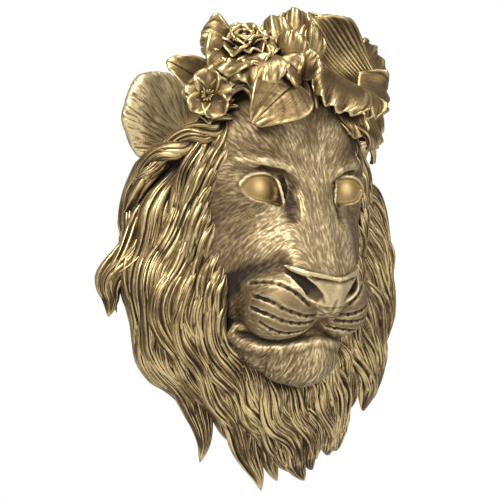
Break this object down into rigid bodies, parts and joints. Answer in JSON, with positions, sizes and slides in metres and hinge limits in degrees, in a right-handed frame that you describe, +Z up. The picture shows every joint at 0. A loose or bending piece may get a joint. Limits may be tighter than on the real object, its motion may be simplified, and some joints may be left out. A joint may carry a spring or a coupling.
{
  "type": "lion head wall mask",
  "caption": "Lion head wall mask: calm maned head turned out from the wall, beard of long locks, round ears and a crown of ruffled flowers and leaves; open hollow back.",
  "frame": {"origin": "on the flat back of the casting, 60 mm above the eye line, at the place where the mask bears on the wall and hangs", "axes": "+Y into the wall, so the lion faces -Y; +Z up; +X to the lion's left"},
  "size_m": [0.3157, 0.1459, 0.4287],
  "materials": {
    "antique_gold": "satin"
  },
  "bodies": {
    "root": {"lion_mask": "antique_gold"}
  },
  "joints": []
}
